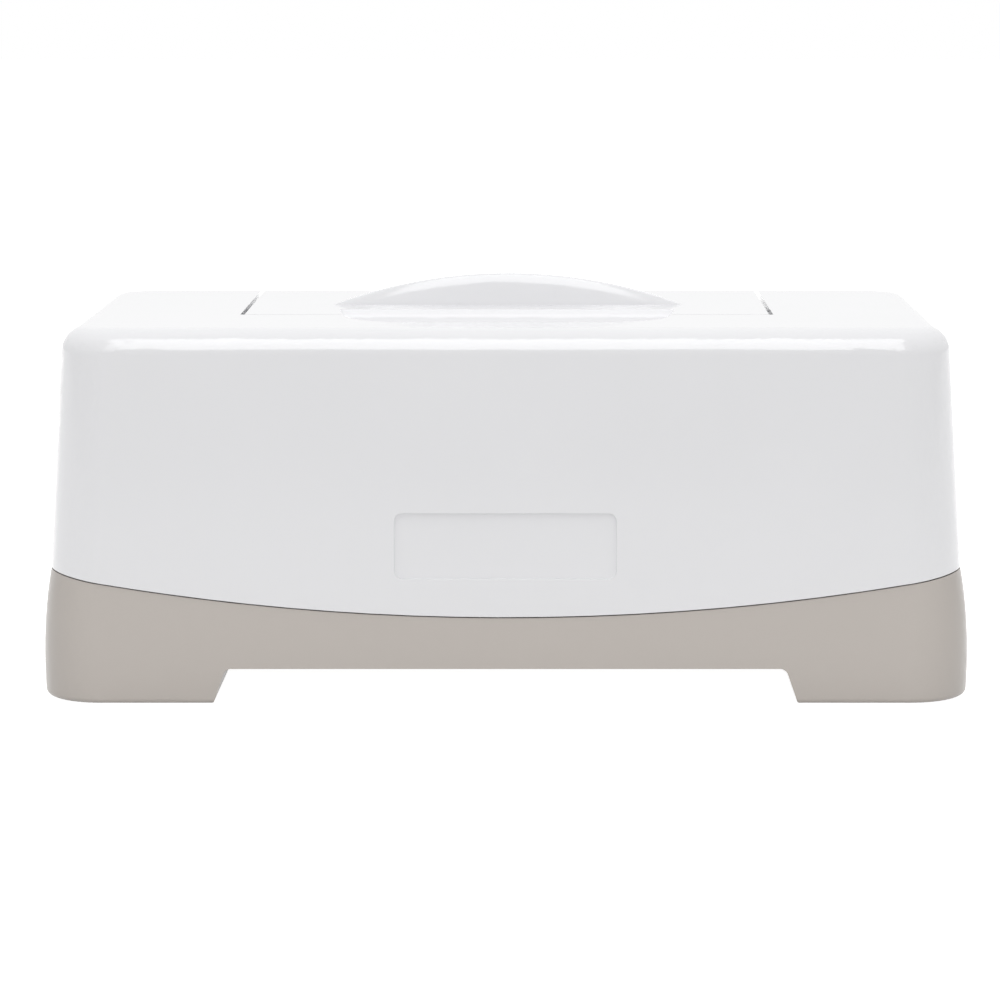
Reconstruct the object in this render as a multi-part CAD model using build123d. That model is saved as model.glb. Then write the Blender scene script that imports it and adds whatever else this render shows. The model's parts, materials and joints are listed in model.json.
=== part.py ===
"""Baby wipes box: a glossy cover with a hinged flap over a footed tub, and a weighted press plate.

Millimetres. X is the width, +Y the back, +Z up. The origin is under the middle of the box,
on the surface that it stands on.
"""

from build123d import *
import math
import os

# Whole box
BOX_HEIGHT = 104.8          # from the table to the level top of the cover
FOOT_PAD_PROUD = 0.4        # rubber below the plastic of the foot
SEAM_CENTRE_Z = 24.7        # lowest point of the smiling seam between cover and tub
SEAM_RADIUS = 690.0         # radius of that seam, seen from the front
SEAM_GAP = 0.35             # open line between cover and tub
COVER_LIP = 0.3             # the cover stands this far proud of the tub at the seam

# Cover
COVER_TOP_WIDTH = 249.0     # at the level of the top, before its edge is rounded
COVER_TOP_DEPTH = 118.8
SIDE_DRAFT = 3.53           # degrees from upright
FRONT_DRAFT = 4.31
COVER_WALL = 2.4
COVER_FOOT_WALL = 3.9       # thicker towards the seam, where the tongue hangs from it
COVER_TOP_CORNER = 14.0     # corner radius seen from above
COVER_FOOT_CORNER = 16.0
TOP_EDGE_RADIUS = 7.5
TONGUE_DEPTH = 5.0          # how far the cover's tongue reaches down inside the tub
TONGUE_CLEARANCE = 0.3
BADGE_WIDTH = 62.0          # plain recessed panel low on the front
BADGE_HEIGHT = 18.4
BADGE_CENTRE_Z = 44.9
BADGE_CORNER = 2.3
BADGE_DEPTH = 0.8

# Tub
TUB_SIDE_FLARE = 1.56       # its waist stands out this far past the cover's foot
TUB_FRONT_FLARE = 0.46
TUB_WAIST_Z = 13.6
TUB_FOOT_TUCK = 0.2         # drawn in this much at the very bottom
TUB_BELLY = 0.75            # how much of the side's narrowing comes above SEAM_CENTRE_Z
TUB_CORNER = 17.0
TUB_EDGE_RADIUS = 1.6       # bottom edge
TUB_WALL = 2.2
TUB_FLOOR = 2.2
FOOT_HEIGHT = 10.4           # from the table to the underside between the feet
FRONT_FOOT_WIDTH = 49.0     # at the table, seen from the front
SIDE_FOOT_WIDTH = 40.0      # at the table, seen from the side
FOOT_DRAFT = 19.0           # slope of the foot's inner end, degrees from upright
FOOT_ARCH_RADIUS = 2.4
FOOT_TIP_RADIUS = 1.0         # lower corner of the foot's inner end
PAD_WIDTH = 30.0
PAD_DEPTH = 22.0
PAD_CORNER = 6.0
PAD_RECESS = 1.0

# Rests that carry the cover inside the tub
REST_Z = 27.6
REST_WIDTH = 14.0
REST_PLACE_Y = 30.0
REST_REACH = 5.0            # how far each rest stands in from the tub's wall

# Flap
SLIT_PLACE_X = 76.5         # middle of each side slit
SLIT_WIDTH = 1.2
FLAP_FRONT_Y = -17.5
FLAP_FRONT_GAP = 0.3
FLAP_SKIN = 2.4
FLAP_SKIRT = 5.4            # whole height of the flap's rim
FLAP_SKIRT_WALL = 2.0
WELL_DEPTH = 9.6            # from the top to the floor under the flap

# Finger scoop
SCOOP_HALF_WIDTH = 49.3
SCOOP_BACK_Y = -3.3
SCOOP_FRONT_Y = -39.8
SCOOP_BOW = 2.8             # bulge of its front edge
SCOOP_CORNER = 20.0
SCOOP_FLARE = 4.8           # each side leans in by this much towards the front
SCOOP_DEPTH = 14.0
SCOOP_DRAFT = 34.0
SCOOP_FLOOR_RADIUS = 5.0
SCOOP_UNDERCUT = 11.3       # finger room: its back slope starts this far behind the flap's part
DISH_DEPTH = 3.4            # the flap's own part of the scoop is this shallow
DISH_DRAFT = 16.5           # slope of its side, degrees from upright
DISH_RADIUS = 3.2           # where that side runs into its floor

# Raised grip
GRIP_FACE_Y = 7.6
GRIP_HEIGHT = 9.3
GRIP_HALF_WIDTH = 51.8
GRIP_FACE_REACH = 2.6       # from the foot of its steep face back to the crest
GRIP_BACK_REACH = 26.0      # from the crest back to the end of the hump
GRIP_WALL = 2.4

# Hinge
PIN_RADIUS = 1.5
PIN_RUNNING_CLEARANCE = 0.05
PIN_IN_BARREL = 9.0
PIN_IN_CHEEK = 7.0
BARREL_CLEARANCE = 0.5
BARREL_CORE_RADIUS = 3.6
BARREL_END = 18.0           # solid stretch at each end of the barrel
STOP_PLACE_X = 66.0         # middle of each stop key
STOP_WIDTH = 6.0
STOP_ANGLE = 215.0          # where the key sits, measured from the back, over the top
STOP_KEY_DEPTH = 1.2
STOP_KEY_CLEARANCE = 0.3
STOP_SPARE = 3.0            # degrees of play past the opening angle
FLAP_OPENING = 105.0
REAR_WALL_DROP = 4.0        # the back wall stops this far below the hinge axis

# Outlet and its seal
OUTLET_WIDTH = 108.0
OUTLET_DEPTH = 30.0
OUTLET_CENTRE_Y = 23.0
OUTLET_CORNER = 12.0
OUTLET_RIM_WALL = 2.0
OUTLET_RIM_HEIGHT = 2.8
LINER_THICKNESS = 1.8
LINER_CLEARANCE = 0.15
GASKET_WIDTH = 3.4
GASKET_GROOVE = 0.8

# Press plate
PLATE_WIDTH = 196.0
PLATE_DEPTH = 104.0
PLATE_HEIGHT = 6.0
PLATE_CORNER = 10.0
PLATE_WALL = 1.8
PLATE_EDGE_RADIUS = 1.6
PLATE_SLOT_WIDTH = 96.0
PLATE_SLOT_DEPTH = 20.0
PLATE_SHEET = 1.6
WEIGHT_THICKNESS = 2.0
WEIGHT_CLEARANCE = 0.4

# Worked out
TUB_BOTTOM_Z = FOOT_PAD_PROUD
TUB_FLOOR_Z = FOOT_HEIGHT + TUB_FLOOR
FLAP_HALF_WIDTH = SLIT_PLACE_X - SLIT_WIDTH / 2
WELL_HALF_WIDTH = SLIT_PLACE_X + SLIT_WIDTH / 2
WELL_FRONT_Y = FLAP_FRONT_Y - FLAP_FRONT_GAP
WELL_FLOOR_Z = BOX_HEIGHT - WELL_DEPTH
HINGE_Z = BOX_HEIGHT - TOP_EDGE_RADIUS
BARREL_RADIUS = TOP_EDGE_RADIUS
TROUGH_RADIUS = BARREL_RADIUS + BARREL_CLEARANCE
LINER_TOP_Z = BOX_HEIGHT - FLAP_SKIN
LINER_BOTTOM_Z = LINER_TOP_Z - LINER_THICKNESS
RIM_TOP_Z = WELL_FLOOR_Z + OUTLET_RIM_HEIGHT
GRIP_CREST_Y = GRIP_FACE_Y + GRIP_FACE_REACH
PLATE_BOTTOM_Z = TUB_FLOOR_Z
SKETCH_SPAN = 400.0         # longer than anything on the box, for cuts that run right through


def cover_half_width(z):
    """Half the cover's outer width at a height."""
    return COVER_TOP_WIDTH / 2 + (BOX_HEIGHT - z) * math.tan(math.radians(SIDE_DRAFT))


def cover_half_depth(z):
    """Half the cover's outer depth at a height."""
    return COVER_TOP_DEPTH / 2 + (BOX_HEIGHT - z) * math.tan(math.radians(FRONT_DRAFT))


def cover_corner(z):
    """Corner radius of the cover's outside at a height, seen from above."""
    share = (BOX_HEIGHT - z) / (BOX_HEIGHT - SEAM_CENTRE_Z)
    return COVER_TOP_CORNER + (COVER_FOOT_CORNER - COVER_TOP_CORNER) * share


def seam_z(x):
    """Height of the seam at a place across the width."""
    return SEAM_CENTRE_Z + SEAM_RADIUS - math.sqrt(SEAM_RADIUS**2 - x**2)


TUB_WIDTH = 2 * (cover_half_width(SEAM_CENTRE_Z) + TUB_SIDE_FLARE)
TUB_DEPTH = 2 * (cover_half_depth(SEAM_CENTRE_Z) + TUB_FRONT_FLARE)
SEAM_END_Z = seam_z(cover_half_width(SEAM_CENTRE_Z))
HINGE_Y = cover_half_depth(HINGE_Z) - TOP_EDGE_RADIUS / math.cos(math.radians(FRONT_DRAFT))


def level_outline(half_width, half_depth, radius, z):
    """Rounded rectangle lying level at a height."""
    return Pos(0, 0, z) * RectangleRounded(2 * half_width, 2 * half_depth, radius)


def block(x0, x1, y0, y1, z0, z1):
    """Plain box between two corners."""
    size = (x1 - x0, y1 - y0, z1 - z0)
    return Pos((x0 + x1) / 2, (y0 + y1) / 2, (z0 + z1) / 2) * Box(*size)


def upright(outline, z0, z1):
    """Level outline drawn at height zero, raised from z0 to z1."""
    return extrude(Pos(0, 0, z0) * outline, amount=z1 - z0)


def cover_form(inset, foot_inset, low, high):
    """Tapered block that follows the cover, inset at its top and, by more, at its foot."""
    share = (BOX_HEIGHT - low) / (BOX_HEIGHT - SEAM_CENTRE_Z)
    low_inset = inset + (foot_inset - inset) * share
    top = level_outline(cover_half_width(high) - inset, cover_half_depth(high) - inset,
                        cover_corner(high) - inset, high)
    foot = level_outline(cover_half_width(low) - low_inset, cover_half_depth(low) - low_inset,
                         cover_corner(low) - low_inset, low)
    return loft([foot, top], ruled=True)


def above_seam(shift):
    """Everything above the seam's arc, moved up by shift."""
    reach = SKETCH_SPAN / 2
    ends = seam_z(reach) + shift
    arc = ThreePointArc((-reach, ends), (0, SEAM_CENTRE_Z + shift), (reach, ends))
    sides = Polyline((reach, ends), (reach, SKETCH_SPAN), (-reach, SKETCH_SPAN), (-reach, ends))
    return extrude(Plane.XZ * make_face(arc + sides), amount=SKETCH_SPAN / 2, both=True)


def scoop_outline(back_y):
    """D shape of the finger scoop seen from above, with its straight edge at back_y."""
    lean = SCOOP_FLARE * (back_y - SCOOP_FRONT_Y) / (SCOOP_BACK_Y - SCOOP_FRONT_Y)
    front = SCOOP_HALF_WIDTH - SCOOP_FLARE
    back = front + lean
    corner_y = SCOOP_FRONT_Y + SCOOP_BOW
    bow = ThreePointArc((-front, corner_y), (0, SCOOP_FRONT_Y), (front, corner_y))
    rest = Polyline((front, corner_y), (back, back_y), (-back, back_y), (-front, corner_y))
    face = Sketch() + make_face(bow + rest)
    corners = face.vertices().sort_by(Axis.Y)[:2]
    return fillet(corners, SCOOP_CORNER)


def scoop_form(back_y, wall):
    """Space of the finger scoop in the cover, grown by a wall."""
    outline = scoop_outline(back_y)
    if wall:
        outline = offset(outline, wall, kind=Kind.INTERSECTION)
    depth = SCOOP_DEPTH + wall
    form = extrude(Pos(0, 0, BOX_HEIGHT) * outline, amount=depth, dir=(0, 0, -1), taper=SCOOP_DRAFT)
    floor = form.faces().sort_by(Axis.Z)[0]
    return form if wall else fillet(floor.edges(), SCOOP_FLOOR_RADIUS)


def grip_half(reach, shrink, toward):
    """Half of a low dome, squeezed to a reach along Y, on one side of the crest line."""
    radius = (GRIP_HALF_WIDTH**2 + GRIP_HEIGHT**2) / (2 * GRIP_HEIGHT)
    squeezed = scale(Sphere(radius - shrink), by=(1, reach / GRIP_HALF_WIDTH, 1))
    placed = Pos(0, GRIP_CREST_Y, BOX_HEIGHT + GRIP_HEIGHT - radius) * squeezed
    near, far = sorted((GRIP_CREST_Y, GRIP_CREST_Y + toward * reach))
    keep = block(-GRIP_HALF_WIDTH, GRIP_HALF_WIDTH, near, far,
                 BOX_HEIGHT - FLAP_SKIN, BOX_HEIGHT + GRIP_HEIGHT + 1)
    return placed & keep


def barrel_rod(radius, half_length):
    """Rod on the hinge axis, centred on the box."""
    return Pos(0, HINGE_Y, HINGE_Z) * Rot(0, 90, 0) * Cylinder(radius, 2 * half_length)


def stop_wedge(start, end, inner, outer, width, x):
    """Piece of a ring about the hinge axis, between two angles measured from the back over the top."""
    points = []
    steps = 12
    for radius, angles in ((inner, (start, end)), (outer, (end, start))):
        for step in range(steps + 1):
            angle = math.radians(angles[0] + (angles[1] - angles[0]) * step / steps)
            points.append((radius * math.cos(angle), radius * math.sin(angle)))
    ring = make_face(Polyline(*points, close=True))
    return Pos(x - width / 2, HINGE_Y, HINGE_Z) * extrude(Plane.YZ * ring, amount=width)


def ring_about_outlet(inner_grow, outer_grow, z0, z1):
    """Rounded ring that follows the outlet's edge."""
    outer = RectangleRounded(OUTLET_WIDTH + 2 * outer_grow, OUTLET_DEPTH + 2 * outer_grow,
                             OUTLET_CORNER + outer_grow)
    inner = RectangleRounded(OUTLET_WIDTH + 2 * inner_grow, OUTLET_DEPTH + 2 * inner_grow,
                             OUTLET_CORNER + inner_grow)
    return upright(Pos(0, OUTLET_CENTRE_Y) * (outer - inner), z0, z1)


def make_tub():
    """Footed tub: convex sides, arched seam, cut-outs between the feet and hollow feet."""
    top_z = SEAM_END_Z + 2
    belly_z = SEAM_CENTRE_Z
    waist = (TUB_WIDTH / 2, TUB_DEPTH / 2)
    top = (cover_half_width(top_z) - COVER_LIP - 0.1, cover_half_depth(top_z) - COVER_LIP)
    belly = (waist[0] - (waist[0] - top[0]) * (1 - TUB_BELLY), cover_half_depth(belly_z) - COVER_LIP)
    foot = (waist[0] - TUB_FOOT_TUCK, waist[1] - TUB_FOOT_TUCK)
    outlines = [level_outline(*foot, TUB_CORNER, TUB_BOTTOM_Z),
                level_outline(*waist, TUB_CORNER, TUB_WAIST_Z),
                level_outline(*belly, cover_corner(belly_z) - COVER_LIP, belly_z),
                level_outline(*top, cover_corner(top_z) - COVER_LIP, top_z)]
    tub = loft(outlines)
    bottom = tub.faces().sort_by(Axis.Z)[0]
    tub = fillet(bottom.edges(), TUB_EDGE_RADIUS)
    inset = COVER_LIP + TUB_WALL
    tub -= cover_form(inset, inset, TUB_FLOOR_Z, BOX_HEIGHT)
    tub -= above_seam(0)
    inner_half_width = cover_half_width(TUB_FLOOR_Z) - inset
    inner_half_depth = cover_half_depth(TUB_FLOOR_Z) - inset
    inner_radius = cover_corner(TUB_FLOOR_Z) - inset
    lean = FOOT_HEIGHT * math.tan(math.radians(FOOT_DRAFT))
    for plane, half_size, foot_width in ((Plane.XZ, TUB_WIDTH / 2, FRONT_FOOT_WIDTH),
                                         (Plane.YZ, TUB_DEPTH / 2, SIDE_FOOT_WIDTH)):
        low = half_size - foot_width
        tip = low - lean * TUB_BOTTOM_Z / FOOT_HEIGHT
        flare = tip + 2 * FOOT_TIP_RADIUS
        arch = Sketch() + make_face(Polyline((-flare, -FOOT_HEIGHT), (-flare, TUB_BOTTOM_Z),
                                             (-tip, TUB_BOTTOM_Z), (-low + lean, FOOT_HEIGHT),
                                             (low - lean, FOOT_HEIGHT), (tip, TUB_BOTTOM_Z),
                                             (flare, TUB_BOTTOM_Z), (flare, -FOOT_HEIGHT), close=True))
        tips = [corner for corner in arch.vertices()
                if corner.Y > 0 and corner.Y < FOOT_HEIGHT / 2 and abs(corner.X) < tip + FOOT_TIP_RADIUS]
        arch = fillet(tips, FOOT_TIP_RADIUS)
        arch = fillet(arch.vertices().sort_by(Axis.Y)[-2:], FOOT_ARCH_RADIUS)
        tub -= extrude(plane * arch, amount=SKETCH_SPAN / 2, both=True)
    for side_x, side_y in ((-1, -1), (1, -1), (-1, 1), (1, 1)):
        x0 = TUB_WIDTH / 2 - FRONT_FOOT_WIDTH + TUB_WALL + lean / 2
        y0 = TUB_DEPTH / 2 - SIDE_FOOT_WIDTH + TUB_WALL + lean / 2
        hollow = Pos((x0 + inner_half_width) / 2 * side_x, (y0 + inner_half_depth) / 2 * side_y) \
            * RectangleRounded(inner_half_width - x0, inner_half_depth - y0, inner_radius)
        tub -= upright(hollow, TUB_BOTTOM_Z + TUB_FLOOR, TUB_FLOOR_Z)
        tub -= upright(pad_outline(side_x, side_y), TUB_BOTTOM_Z, TUB_BOTTOM_Z + PAD_RECESS)
    rest_in = inner_half_width - REST_REACH
    for side_x in (-1, 1):
        for side_y in (-1, 1):
            rest = Pos((rest_in + inner_half_width) / 2 * side_x, REST_PLACE_Y * side_y,
                       (TUB_FLOOR_Z + REST_Z) / 2) \
                * Box(inner_half_width - rest_in, REST_WIDTH, REST_Z - TUB_FLOOR_Z)
            tub += rest
    return tub


def pad_outline(side_x, side_y):
    """Rubber pad's outline, in the middle of one foot."""
    x = (TUB_WIDTH / 2 - FRONT_FOOT_WIDTH / 2) * side_x
    y = (TUB_DEPTH / 2 - SIDE_FOOT_WIDTH / 2) * side_y
    return Pos(x, y) * RectangleRounded(PAD_WIDTH, PAD_DEPTH, PAD_CORNER)


def make_pad(side_x, side_y):
    """Rubber pad let into one foot, standing a little proud."""
    return upright(pad_outline(side_x, side_y), 0, TUB_BOTTOM_Z + PAD_RECESS)


def make_cover():
    """Cover shell with the flap's well, the finger scoop, the outlet and the hinge cheeks."""
    low = SEAM_CENTRE_Z - TONGUE_DEPTH
    outer = cover_form(0, 0, low, BOX_HEIGHT)
    outer = fillet(outer.faces().sort_by(Axis.Z)[-1].edges(), TOP_EDGE_RADIUS)
    inner = cover_form(COVER_WALL, COVER_FOOT_WALL, low - 1, BOX_HEIGHT - COVER_WALL)
    inner = fillet(inner.faces().sort_by(Axis.Z)[-1].edges(), TOP_EDGE_RADIUS - COVER_WALL)
    shell = (outer - inner) & above_seam(SEAM_GAP)

    tongue_inset = COVER_LIP + TUB_WALL + TONGUE_CLEARANCE
    tongue = cover_form(tongue_inset, tongue_inset, low, SEAM_END_Z + TONGUE_DEPTH) - inner
    tongue = (tongue & above_seam(-TONGUE_DEPTH)) - above_seam(SEAM_GAP + 1)
    cover = shell + tongue

    wall = COVER_WALL
    cheek = WELL_HALF_WIDTH + wall
    well_block = block(-cheek, cheek, WELL_FRONT_Y - wall, HINGE_Y, WELL_FLOOR_Z - wall, BOX_HEIGHT)
    well_block += barrel_rod(TROUGH_RADIUS + wall, cheek)
    for side in (-1, 1):
        boss = Pos(side * (WELL_HALF_WIDTH + PIN_IN_CHEEK / 2), HINGE_Y, HINGE_Z) \
            * Rot(0, 90, 0) * Cylinder(BARREL_RADIUS, PIN_IN_CHEEK)
        well_block += boss
    scoop_back = SCOOP_BACK_Y + SCOOP_UNDERCUT
    cover += (well_block + scoop_form(scoop_back, wall)) & outer

    well = block(-WELL_HALF_WIDTH, WELL_HALF_WIDTH, WELL_FRONT_Y, HINGE_Y, WELL_FLOOR_Z, BOX_HEIGHT + 1)
    cover -= well
    cover -= scoop_form(scoop_back, 0)
    cover -= barrel_rod(TROUGH_RADIUS, WELL_HALF_WIDTH)
    cover -= block(-WELL_HALF_WIDTH, WELL_HALF_WIDTH, HINGE_Y, HINGE_Y + 2 * TROUGH_RADIUS,
                   HINGE_Z - REAR_WALL_DROP, BOX_HEIGHT + 1)
    cover += ring_about_outlet(0, OUTLET_RIM_WALL, WELL_FLOOR_Z - wall / 2, RIM_TOP_Z)
    outlet = Pos(0, OUTLET_CENTRE_Y) * RectangleRounded(OUTLET_WIDTH, OUTLET_DEPTH, OUTLET_CORNER)
    cover -= upright(outlet, WELL_FLOOR_Z - 2 * wall, RIM_TOP_Z + 1)
    cover -= barrel_rod(PIN_RADIUS, WELL_HALF_WIDTH + PIN_IN_CHEEK)
    for side in (-1, 1):
        key_end = STOP_ANGLE - math.degrees(STOP_KEY_DEPTH / TROUGH_RADIUS)
        cover += stop_wedge(key_end, STOP_ANGLE, TROUGH_RADIUS - STOP_KEY_DEPTH,
                            TROUGH_RADIUS + wall / 2, STOP_WIDTH, side * STOP_PLACE_X)

    lug_out = cover_half_width(REST_Z) - tongue_inset - TONGUE_CLEARANCE
    lug_in = cover_half_width(TUB_FLOOR_Z) - COVER_LIP - TUB_WALL - REST_REACH
    lug_top = SEAM_END_Z - TONGUE_DEPTH / 2
    for side_x in (-1, 1):
        for side_y in (-1, 1):
            lug = Pos((lug_in + lug_out) / 2 * side_x, REST_PLACE_Y * side_y, (REST_Z + lug_top) / 2) \
                * Box(lug_out - lug_in, REST_WIDTH, lug_top - REST_Z)
            cover += lug

    front_y = -cover_half_depth(BADGE_CENTRE_Z)
    badge = RectangleRounded(BADGE_WIDTH, BADGE_HEIGHT, BADGE_CORNER)
    place = Pos(0, front_y, BADGE_CENTRE_Z) * Rot(90 - FRONT_DRAFT, 0, 0)
    cover -= place * extrude(badge, amount=BADGE_DEPTH, both=True)
    return cover


def flap_outline(inset):
    """Flap seen from above, drawn in by inset."""
    back_y = HINGE_Y - (TROUGH_RADIUS + FLAP_SKIRT_WALL if inset else 0)
    front_y = FLAP_FRONT_Y + inset
    size = (2 * (FLAP_HALF_WIDTH - inset), back_y - front_y)
    return Pos(0, (front_y + back_y) / 2) * Rectangle(*size)


def pocket_outline(clearance):
    """Hollow under the flap: its outline inside the rim, less the finger scoop and its wall."""
    return flap_outline(FLAP_SKIRT_WALL + clearance) \
        - offset(scoop_outline(SCOOP_BACK_Y), FLAP_SKIRT_WALL + clearance)


def dish_form():
    """Shallow part of the finger scoop that the flap itself carries, with a concave side."""
    top = Pos(0, 0, BOX_HEIGHT) * scoop_outline(SCOOP_BACK_Y)
    form = extrude(top, amount=DISH_DEPTH, dir=(0, 0, -1), taper=DISH_DRAFT)
    floor = form.faces().sort_by(Axis.Z)[0]
    return fillet(floor.edges(), DISH_RADIUS)


def make_flap():
    """Hinged flap: flush skin with a rim, a lip in the scoop, the raised grip and the hinge barrel."""
    low = BOX_HEIGHT - FLAP_SKIRT
    flap = upright(flap_outline(0), low, BOX_HEIGHT)
    pocket = upright(pocket_outline(0), low, LINER_TOP_Z)
    clear_back = block(-SKETCH_SPAN, SKETCH_SPAN, HINGE_Y, HINGE_Y + SKETCH_SPAN, 0, SKETCH_SPAN)
    flap = (flap - pocket - clear_back - dish_form()) + barrel_rod(BARREL_RADIUS, FLAP_HALF_WIDTH)
    flap += grip_half(GRIP_FACE_REACH, 0, -1)
    flap += grip_half(GRIP_BACK_REACH, 0, 1)
    flap -= grip_half(GRIP_BACK_REACH - GRIP_WALL, GRIP_WALL, 1)

    core = barrel_rod(BARREL_CORE_RADIUS, FLAP_HALF_WIDTH - BARREL_END)
    core += block(-FLAP_HALF_WIDTH + BARREL_END, FLAP_HALF_WIDTH - BARREL_END,
                  HINGE_Y - BARREL_CORE_RADIUS, HINGE_Y + BARREL_CORE_RADIUS,
                  HINGE_Z - 2 * BARREL_RADIUS, HINGE_Z)
    flap -= core
    for side in (-1, 1):
        bore = Pos(side * (FLAP_HALF_WIDTH - PIN_IN_BARREL / 2), HINGE_Y, HINGE_Z) \
            * Rot(0, 90, 0) * Cylinder(PIN_RADIUS + PIN_RUNNING_CLEARANCE, PIN_IN_BARREL + 1)
        flap -= bore
        key_end = STOP_ANGLE - math.degrees(STOP_KEY_DEPTH / TROUGH_RADIUS)
        flap -= stop_wedge(key_end - STOP_SPARE, STOP_ANGLE + FLAP_OPENING + STOP_SPARE,
                           TROUGH_RADIUS - STOP_KEY_DEPTH - STOP_KEY_CLEARANCE, 2 * BARREL_RADIUS,
                           STOP_WIDTH + 2 * STOP_KEY_CLEARANCE, side * STOP_PLACE_X)
    return flap


def make_hinge_pin(side):
    """Steel pin, fast in the cover's cheek and free in the barrel."""
    inner = FLAP_HALF_WIDTH - PIN_IN_BARREL
    outer = WELL_HALF_WIDTH + PIN_IN_CHEEK
    rod = Cylinder(PIN_RADIUS, outer - inner)
    return Pos(side * (inner + outer) / 2, HINGE_Y, HINGE_Z) * Rot(0, 90, 0) * rod


def make_liner():
    """Flat liner clipped under the flap, with the groove that holds the seal."""
    liner = upright(pocket_outline(LINER_CLEARANCE), LINER_BOTTOM_Z, LINER_TOP_Z)
    middle = OUTLET_RIM_WALL / 2
    groove = ring_about_outlet(middle - GASKET_WIDTH / 2, middle + GASKET_WIDTH / 2,
                               LINER_BOTTOM_Z, LINER_BOTTOM_Z + GASKET_GROOVE)
    return liner - groove


def make_gasket():
    """Soft ring in the liner's groove, closing on the outlet's rim."""
    middle = OUTLET_RIM_WALL / 2
    return ring_about_outlet(middle - GASKET_WIDTH / 2, middle + GASKET_WIDTH / 2,
                             RIM_TOP_Z, LINER_BOTTOM_Z + GASKET_GROOVE)


def plate_slab(inset, slot_grow, z0, z1):
    """Level slab with the plate's outline and its slot."""
    outline = RectangleRounded(PLATE_WIDTH - 2 * inset, PLATE_DEPTH - 2 * inset, PLATE_CORNER - inset)
    slot = SlotOverall(PLATE_SLOT_WIDTH + 2 * slot_grow, PLATE_SLOT_DEPTH + 2 * slot_grow)
    return upright(outline - slot, PLATE_BOTTOM_Z + z0, PLATE_BOTTOM_Z + z1)


def make_press_plate():
    """Upper half of the press plate, open below for the weight."""
    plate = plate_slab(0, 0, 0, PLATE_HEIGHT)
    top = plate.faces().sort_by(Axis.Z)[-1]
    plate = fillet(top.edges(), PLATE_EDGE_RADIUS)
    return plate - plate_slab(PLATE_WALL, PLATE_WALL, 0, PLATE_HEIGHT - PLATE_WALL)


def make_plate_weight():
    """Steel weight inside the press plate."""
    grow = PLATE_WALL + WEIGHT_CLEARANCE
    return plate_slab(grow, grow, PLATE_SHEET, PLATE_SHEET + WEIGHT_THICKNESS)


def make_plate_sheet():
    """Lower sheet that closes the press plate."""
    return plate_slab(PLATE_WALL, PLATE_WALL, 0, PLATE_SHEET)


PIECES = {
    "base_tub": make_tub(),
    "foot_pad_front_left": make_pad(-1, -1),
    "foot_pad_front_right": make_pad(1, -1),
    "foot_pad_rear_left": make_pad(-1, 1),
    "foot_pad_rear_right": make_pad(1, 1),
    "cover_shell": make_cover(),
    "hinge_pin_left": make_hinge_pin(-1),
    "hinge_pin_right": make_hinge_pin(1),
    "lid_flap": make_flap(),
    "lid_liner": make_liner(),
    "lid_gasket": make_gasket(),
    "press_plate": make_press_plate(),
    "plate_weight": make_plate_weight(),
    "plate_sheet": make_plate_sheet(),
}

os.makedirs("parts", exist_ok=True)
for name, piece in PIECES.items():
    export_step(piece, os.path.join("parts", name + ".step"))
print("hinge axis at", round(HINGE_Y, 3), round(HINGE_Z, 3))
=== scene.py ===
"""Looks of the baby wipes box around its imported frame.

Metres, +X to the box's right, +Y to its back, +Z up. The pieces that show keep the frame's own shapes:
each gets a smooth copy of its node's mesh with its edges eased as moulding leaves them.
"""

import json
import math

import bmesh
import bpy
import numpy as np
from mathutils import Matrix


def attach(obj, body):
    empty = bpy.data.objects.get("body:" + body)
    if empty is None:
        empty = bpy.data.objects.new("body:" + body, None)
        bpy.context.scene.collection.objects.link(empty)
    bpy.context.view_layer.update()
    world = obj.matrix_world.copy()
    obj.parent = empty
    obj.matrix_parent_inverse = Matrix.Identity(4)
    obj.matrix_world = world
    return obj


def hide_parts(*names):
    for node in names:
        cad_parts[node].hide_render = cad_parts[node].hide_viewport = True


MM = 0.001

# Camera, worked out from the photograph
SENSOR_WIDTH = 36.0                 # mm
LENS = 118.8                        # mm
CAMERA_PLACE = (10.9 * MM, -968.7 * MM, 205.8 * MM)
CAMERA_PITCH = 9.28                 # degrees below level
CAMERA_SHIFT = -0.0445              # share of the picture's width
CAMERA_FAR = 50.0                   # metres

# Light
WORLD_LEVEL = 0.80                  # even light from all round
FLOOR_GLOW = 0.95                   # white of the floor where it is seen
WASH_POWER = 2.2                    # watts, matt light on the top
WASH_PLACE = (0.0, -0.25, 0.90)
WASH_AIM = (0, -0.25, 0.0)
WASH_SIZE = (0.44, 0.75)
GLINT_POWER = 6.4                   # watts, mirrored in the rounded edges only
SOFTBOX_PLACE = (0.0, -0.74, 0.94)
SOFTBOX_AIM = (0.0, -0.058, 0.10)
SOFTBOX_SIZE = (0.53, 1.00)
FLOOR_REACH = 6.0                   # metres from the middle to each side
FLOOR_COLOUR = (0.8, 0.8, 0.8)

# Finishes, linear colours
WHITE = (0.83, 0.83, 0.845)
TAUPE = (0.560, 0.518, 0.480)
LINER_WHITE = (0.80, 0.80, 0.80)
SEAL_GREY = (0.55, 0.53, 0.51)
FOOT_GREY = (0.20, 0.19, 0.18)
STEEL = (0.62, 0.62, 0.63)
PLASTIC_IOR = 1.49
BUMP_STRENGTH = 0.35
PAINTED_SHADE_BLEND = 0.35             # how far in from the outline the painted shade on turned-away sides reaches
CLOUD_SCALE = 22.0                  # features per metre

# Mesh clean-up
MERGE_DISTANCE = 0.002 * MM
FLAT_ANGLE = math.radians(0.2)      # faces that turn less than this become one
EASED_ANGLE = math.radians(25.0)    # edges sharper than this are eased
EASED_SEGMENTS = 2
FLAT_FACE_WEIGHT = 50
MOULDED_EDGE = 0.35 * MM            # eased edge of the large mouldings


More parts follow.
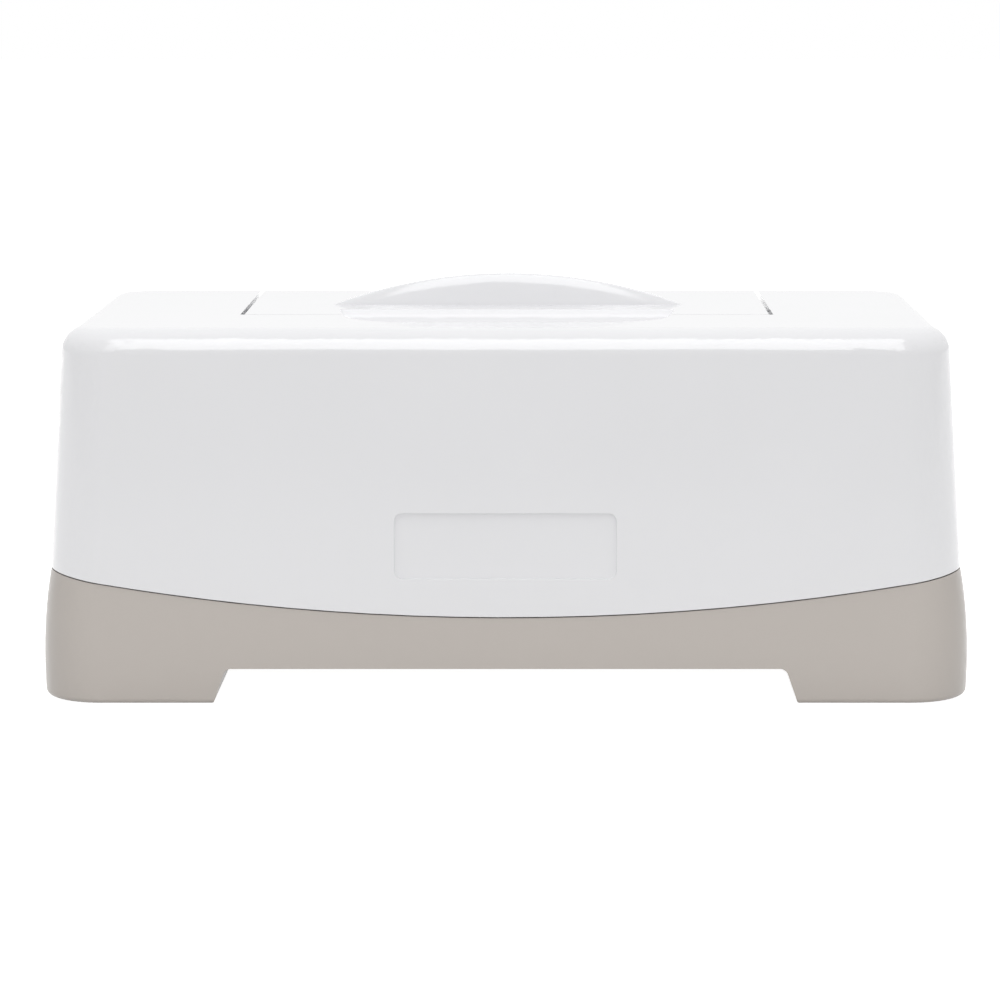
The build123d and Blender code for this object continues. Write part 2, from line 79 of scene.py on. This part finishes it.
def eased_copy(node_name, width):
    """Copy of a node's mesh, merged to one skin, flats dissolved, edges eased and shaded smooth."""
    node = frame["nodes"][node_name]
    mesh = node.data.copy()
    mesh.name = node_name + "_skin"
    work = bmesh.new()
    work.from_mesh(mesh)
    bmesh.ops.remove_doubles(work, verts=work.verts, dist=MERGE_DISTANCE)
    bmesh.ops.dissolve_limit(work, angle_limit=FLAT_ANGLE, verts=work.verts, edges=work.edges,
                             use_dissolve_boundaries=False)
    for face in work.faces:
        face.smooth = True
    work.to_mesh(mesh)
    work.free()
    piece = bpy.data.objects.new(node_name + "_skin", mesh)
    bpy.context.scene.collection.objects.link(piece)
    bevel = piece.modifiers.new("eased_edges", "BEVEL")
    bevel.width = width
    bevel.segments = EASED_SEGMENTS
    bevel.limit_method = "ANGLE"
    bevel.angle_limit = EASED_ANGLE
    bevel.use_clamp_overlap = True
    bevel.miter_outer = "MITER_ARC"
    normals = piece.modifiers.new("flat_faces_lead", "WEIGHTED_NORMAL")
    normals.keep_sharp = True
    normals.weight = FLAT_FACE_WEIGHT
    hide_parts(node_name)
    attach(piece, body_of[node_name])
    return piece


def link(tree, source, target):
    """Joins one socket to another."""
    tree.links.new(source, target)


def moulded_skin_group():
    """Shared effect: the faint waviness of moulded plastic and the uneven gloss of handled surfaces.

    Height is broad noise plus a little fine noise. Cloud is a slow noise from 0 to 1. Both follow
    Object coordinates, in metres, scaled by the number of features per metre.
    """
    group = bpy.data.node_groups.new("moulded_skin", "ShaderNodeTree")
    for name, default in (("Wave Scale", 60.0), ("Fine Scale", 1500.0), ("Fine Share", 0.2)):
        socket = group.interface.new_socket(name, in_out="INPUT", socket_type="NodeSocketFloat")
        socket.default_value = default
    for name in ("Height", "Cloud"):
        group.interface.new_socket(name, in_out="OUTPUT", socket_type="NodeSocketFloat")
    nodes = group.nodes
    start = nodes.new("NodeGroupInput")
    end = nodes.new("NodeGroupOutput")
    place = nodes.new("ShaderNodeTexCoord")
    wave = nodes.new("ShaderNodeTexNoise")
    wave.inputs["Detail"].default_value = 1.0
    fine = nodes.new("ShaderNodeTexNoise")
    fine.inputs["Detail"].default_value = 2.0
    cloud = nodes.new("ShaderNodeTexNoise")
    cloud.inputs["Scale"].default_value = CLOUD_SCALE
    cloud.inputs["Detail"].default_value = 4.0
    share = nodes.new("ShaderNodeMath")
    share.operation = "MULTIPLY"
    total = nodes.new("ShaderNodeMath")
    total.operation = "ADD"
    for noise in (wave, fine, cloud):
        link(group, place.outputs["Object"], noise.inputs["Vector"])
    link(group, start.outputs["Wave Scale"], wave.inputs["Scale"])
    link(group, start.outputs["Fine Scale"], fine.inputs["Scale"])
    link(group, fine.outputs["Fac"], share.inputs[0])
    link(group, start.outputs["Fine Share"], share.inputs[1])
    link(group, wave.outputs["Fac"], total.inputs[0])
    link(group, share.outputs[0], total.inputs[1])
    link(group, total.outputs[0], end.inputs["Height"])
    link(group, cloud.outputs["Fac"], end.inputs["Cloud"])
    return group


def plastic(name, colour, rough, rough_spread, wave=60.0, fine=1500.0, fine_share=0.2, depth=0.02,
            shade_spread=0.015, metallic=0.0, specular=0.5, painted_edge_shade=0.0):
    """Material with a colour that clouds very slightly, uneven gloss and a faint moulded surface.

    The colour is darkened by the Layer Weight's facing value times the given edge amount. This is painted
    shade, so that sides that turn away from the camera look darker.
    """
    material = bpy.data.materials.new(name)
    material.use_nodes = True
    tree = material.node_tree
    shader = tree.nodes["Principled BSDF"]
    skin = tree.nodes.new("ShaderNodeGroup")
    skin.node_tree = moulded_skin
    skin.inputs["Wave Scale"].default_value = wave
    skin.inputs["Fine Scale"].default_value = fine
    skin.inputs["Fine Share"].default_value = fine_share
    gloss = tree.nodes.new("ShaderNodeMapRange")
    gloss.inputs["To Min"].default_value = rough - rough_spread
    gloss.inputs["To Max"].default_value = rough + rough_spread
    shade = tree.nodes.new("ShaderNodeMix")
    shade.data_type = "RGBA"
    low = [c * (1 - shade_spread) for c in colour]
    high = [min(1.0, c * (1 + shade_spread)) for c in colour]
    shade.inputs["A"].default_value = (*low, 1)
    shade.inputs["B"].default_value = (*high, 1)
    bump = tree.nodes.new("ShaderNodeBump")
    bump.inputs["Strength"].default_value = BUMP_STRENGTH
    bump.inputs["Distance"].default_value = depth * MM
    link(tree, skin.outputs["Cloud"], gloss.inputs["Value"])
    link(tree, skin.outputs["Cloud"], shade.inputs["Factor"])
    link(tree, skin.outputs["Height"], bump.inputs["Height"])
    link(tree, gloss.outputs["Result"], shader.inputs["Roughness"])
    if painted_edge_shade:
        # painted shade: the colour darkens towards black where the surface turns away from the camera
        turn = tree.nodes.new("ShaderNodeLayerWeight")
        turn.inputs["Blend"].default_value = PAINTED_SHADE_BLEND
        painted_shade_amount = tree.nodes.new("ShaderNodeMath")
        painted_shade_amount.operation = "MULTIPLY"
        painted_shade_amount.inputs[1].default_value = painted_edge_shade
        painted_shade_mix = tree.nodes.new("ShaderNodeMix")
        painted_shade_mix.data_type = "RGBA"
        painted_shade_mix.inputs["B"].default_value = (0, 0, 0, 1)
        link(tree, turn.outputs["Facing"], painted_shade_amount.inputs[0])
        link(tree, painted_shade_amount.outputs[0], painted_shade_mix.inputs["Factor"])
        link(tree, shade.outputs["Result"], painted_shade_mix.inputs["A"])
        link(tree, painted_shade_mix.outputs["Result"], shader.inputs["Base Color"])
    else:
        link(tree, shade.outputs["Result"], shader.inputs["Base Color"])
    link(tree, bump.outputs["Normal"], shader.inputs["Normal"])
    shader.inputs["IOR"].default_value = PLASTIC_IOR
    shader.inputs["Metallic"].default_value = metallic
    shader.inputs["Specular IOR Level"].default_value = specular
    return material


def put_on(piece, material):
    """Gives a piece one material on every face."""
    piece.data.materials.clear()
    piece.data.materials.append(material)


def area_light(name, place, aim, width, height, power):
    """Rectangular soft light at a place, facing a point."""
    lamp = bpy.data.lights.new(name, "AREA")
    lamp.shape = "RECTANGLE"
    lamp.size = width
    lamp.size_y = height
    lamp.energy = power
    light = bpy.data.objects.new(name, lamp)
    light.location = place
    direction = np.array(aim) - np.array(place)
    flat = math.hypot(direction[0], direction[1])
    light.rotation_euler = (math.atan2(flat, -direction[2]), 0,
                            math.atan2(-direction[0], direction[1]) if flat else 0)
    bpy.context.scene.collection.objects.link(light)
    return light


def add_camera():
    """Camera at the photograph's viewpoint."""
    data = bpy.data.cameras.new("camera")
    data.lens = LENS
    data.sensor_width = SENSOR_WIDTH
    data.clip_end = CAMERA_FAR
    data.shift_x = CAMERA_SHIFT
    camera = bpy.data.objects.new("camera", data)
    camera.location = CAMERA_PLACE
    camera.rotation_euler = (math.radians(90 - CAMERA_PITCH), 0, 0)
    bpy.context.scene.collection.objects.link(camera)
    bpy.context.scene.camera = camera


def seen_directly(tree):
    """1 for what the camera, a reflection or a refraction sees, 0 for the light that falls on things."""
    path = tree.nodes.new("ShaderNodeLightPath")
    first = tree.nodes.new("ShaderNodeMath")
    first.operation = "MAXIMUM"
    second = tree.nodes.new("ShaderNodeMath")
    second.operation = "MAXIMUM"
    link(tree, path.outputs["Is Camera Ray"], first.inputs[0])
    link(tree, path.outputs["Is Glossy Ray"], first.inputs[1])
    link(tree, first.outputs[0], second.inputs[0])
    link(tree, path.outputs["Is Transmission Ray"], second.inputs[1])
    return second.outputs[0]


def add_world(level):
    """White world where it is seen, and a soft even light where it falls on the box."""
    world = bpy.data.worlds.new("studio")
    bpy.context.scene.world = world
    world.use_nodes = True
    tree = world.node_tree
    background = tree.nodes["Background"]
    background.inputs["Color"].default_value = (1, 1, 1, 1)
    strength = tree.nodes.new("ShaderNodeMapRange")
    strength.inputs["To Min"].default_value = level
    strength.inputs["To Max"].default_value = 1.0
    link(tree, seen_directly(tree), strength.inputs["Value"])
    link(tree, strength.outputs["Result"], background.inputs["Strength"])


def add_floor():
    """Wide white floor that glows white where it is seen and still takes the box's soft shadow."""
    corners = [(FLOOR_REACH * across, FLOOR_REACH * deep, 0)
               for across, deep in ((-1, -1), (1, -1), (1, 1), (-1, 1))]
    mesh = bpy.data.meshes.new("floor")
    mesh.from_pydata(corners, [], [(0, 1, 2, 3)])
    floor = bpy.data.objects.new("floor", mesh)
    bpy.context.scene.collection.objects.link(floor)
    material = bpy.data.materials.new("floor_white")
    material.use_nodes = True
    tree = material.node_tree
    tree.nodes.remove(tree.nodes["Principled BSDF"])
    matt = tree.nodes.new("ShaderNodeBsdfDiffuse")
    matt.inputs["Color"].default_value = (*FLOOR_COLOUR, 1)
    glow = tree.nodes.new("ShaderNodeEmission")
    glow.inputs["Strength"].default_value = FLOOR_GLOW
    both = tree.nodes.new("ShaderNodeAddShader")
    choose = tree.nodes.new("ShaderNodeMixShader")
    link(tree, matt.outputs[0], both.inputs[0])
    link(tree, glow.outputs[0], both.inputs[1])
    link(tree, seen_directly(tree), choose.inputs[0])
    link(tree, matt.outputs[0], choose.inputs[1])
    link(tree, both.outputs[0], choose.inputs[2])
    link(tree, choose.outputs[0], tree.nodes["Material Output"].inputs["Surface"])
    floor.data.materials.append(material)


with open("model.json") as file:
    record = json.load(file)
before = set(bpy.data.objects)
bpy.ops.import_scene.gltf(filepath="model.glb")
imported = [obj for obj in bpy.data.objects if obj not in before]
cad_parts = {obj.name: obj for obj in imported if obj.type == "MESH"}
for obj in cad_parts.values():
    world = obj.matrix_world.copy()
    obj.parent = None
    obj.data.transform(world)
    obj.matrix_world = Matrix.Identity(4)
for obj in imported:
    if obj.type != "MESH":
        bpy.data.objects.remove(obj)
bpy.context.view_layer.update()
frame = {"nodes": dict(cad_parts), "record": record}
body_of = {name: body for body, names in frame["record"]["behaviour"]["bodies"].items() for name in names}

add_camera()
add_world(WORLD_LEVEL)
add_floor()
wash = area_light("overhead_wash", WASH_PLACE, WASH_AIM, *WASH_SIZE, WASH_POWER)
wash.visible_glossy = False
glint = area_light("softbox_glint", SOFTBOX_PLACE, SOFTBOX_AIM, *SOFTBOX_SIZE, GLINT_POWER)
glint.visible_diffuse = False

moulded_skin = moulded_skin_group()
white_gloss = plastic("white_gloss", WHITE, 0.09, 0.015, depth=0.006)
# the tub's colour carries painted shade on its sides that turn away from the camera
taupe_satin = plastic("taupe_satin", TAUPE, 0.30, 0.03, depth=0.02, specular=0.3, painted_edge_shade=0.40)
liner_matt = plastic("liner_matt", LINER_WHITE, 0.42, 0.05, depth=0.02)
seal_soft = plastic("seal_soft", SEAL_GREY, 0.6, 0.05, wave=200, depth=0.03)
foot_soft = plastic("foot_soft", FOOT_GREY, 0.7, 0.05, wave=300, depth=0.05)
pin_steel = plastic("pin_steel", STEEL, 0.25, 0.05, wave=900, depth=0.01, metallic=1.0)

# Each piece's eased edge in metres, finish and a colour name that nothing here reads
DRESS = {
    "base_tub": (MOULDED_EDGE, taupe_satin, "taupe_plastic"),
    "cover_shell": (MOULDED_EDGE, white_gloss, "white_plastic"),
    "lid_flap": (MOULDED_EDGE, white_gloss, "white_plastic"),
    "lid_liner": (0.25 * MM, liner_matt, "liner_plastic"),
    "lid_gasket": (0.40 * MM, seal_soft, "seal_rubber"),
    "press_plate": (0.40 * MM, liner_matt, "liner_plastic"),
    "plate_sheet": (0.15 * MM, liner_matt, "liner_plastic"),
    "plate_weight": (0.25 * MM, pin_steel, "weight_steel"),
    "hinge_pin_left": (0.20 * MM, pin_steel, "pin_steel"),
    "hinge_pin_right": (0.20 * MM, pin_steel, "pin_steel"),
    "foot_pad_front_left": (0.25 * MM, foot_soft, "foot_rubber"),
    "foot_pad_front_right": (0.25 * MM, foot_soft, "foot_rubber"),
    "foot_pad_rear_left": (0.25 * MM, foot_soft, "foot_rubber"),
    "foot_pad_rear_right": (0.25 * MM, foot_soft, "foot_rubber"),
}
for node_name, (edge, finish, colour_name) in DRESS.items():
    skin = eased_copy(node_name, edge)
    put_on(skin, finish)

view_settings = bpy.context.scene.view_settings
view_settings.view_transform = "Standard"
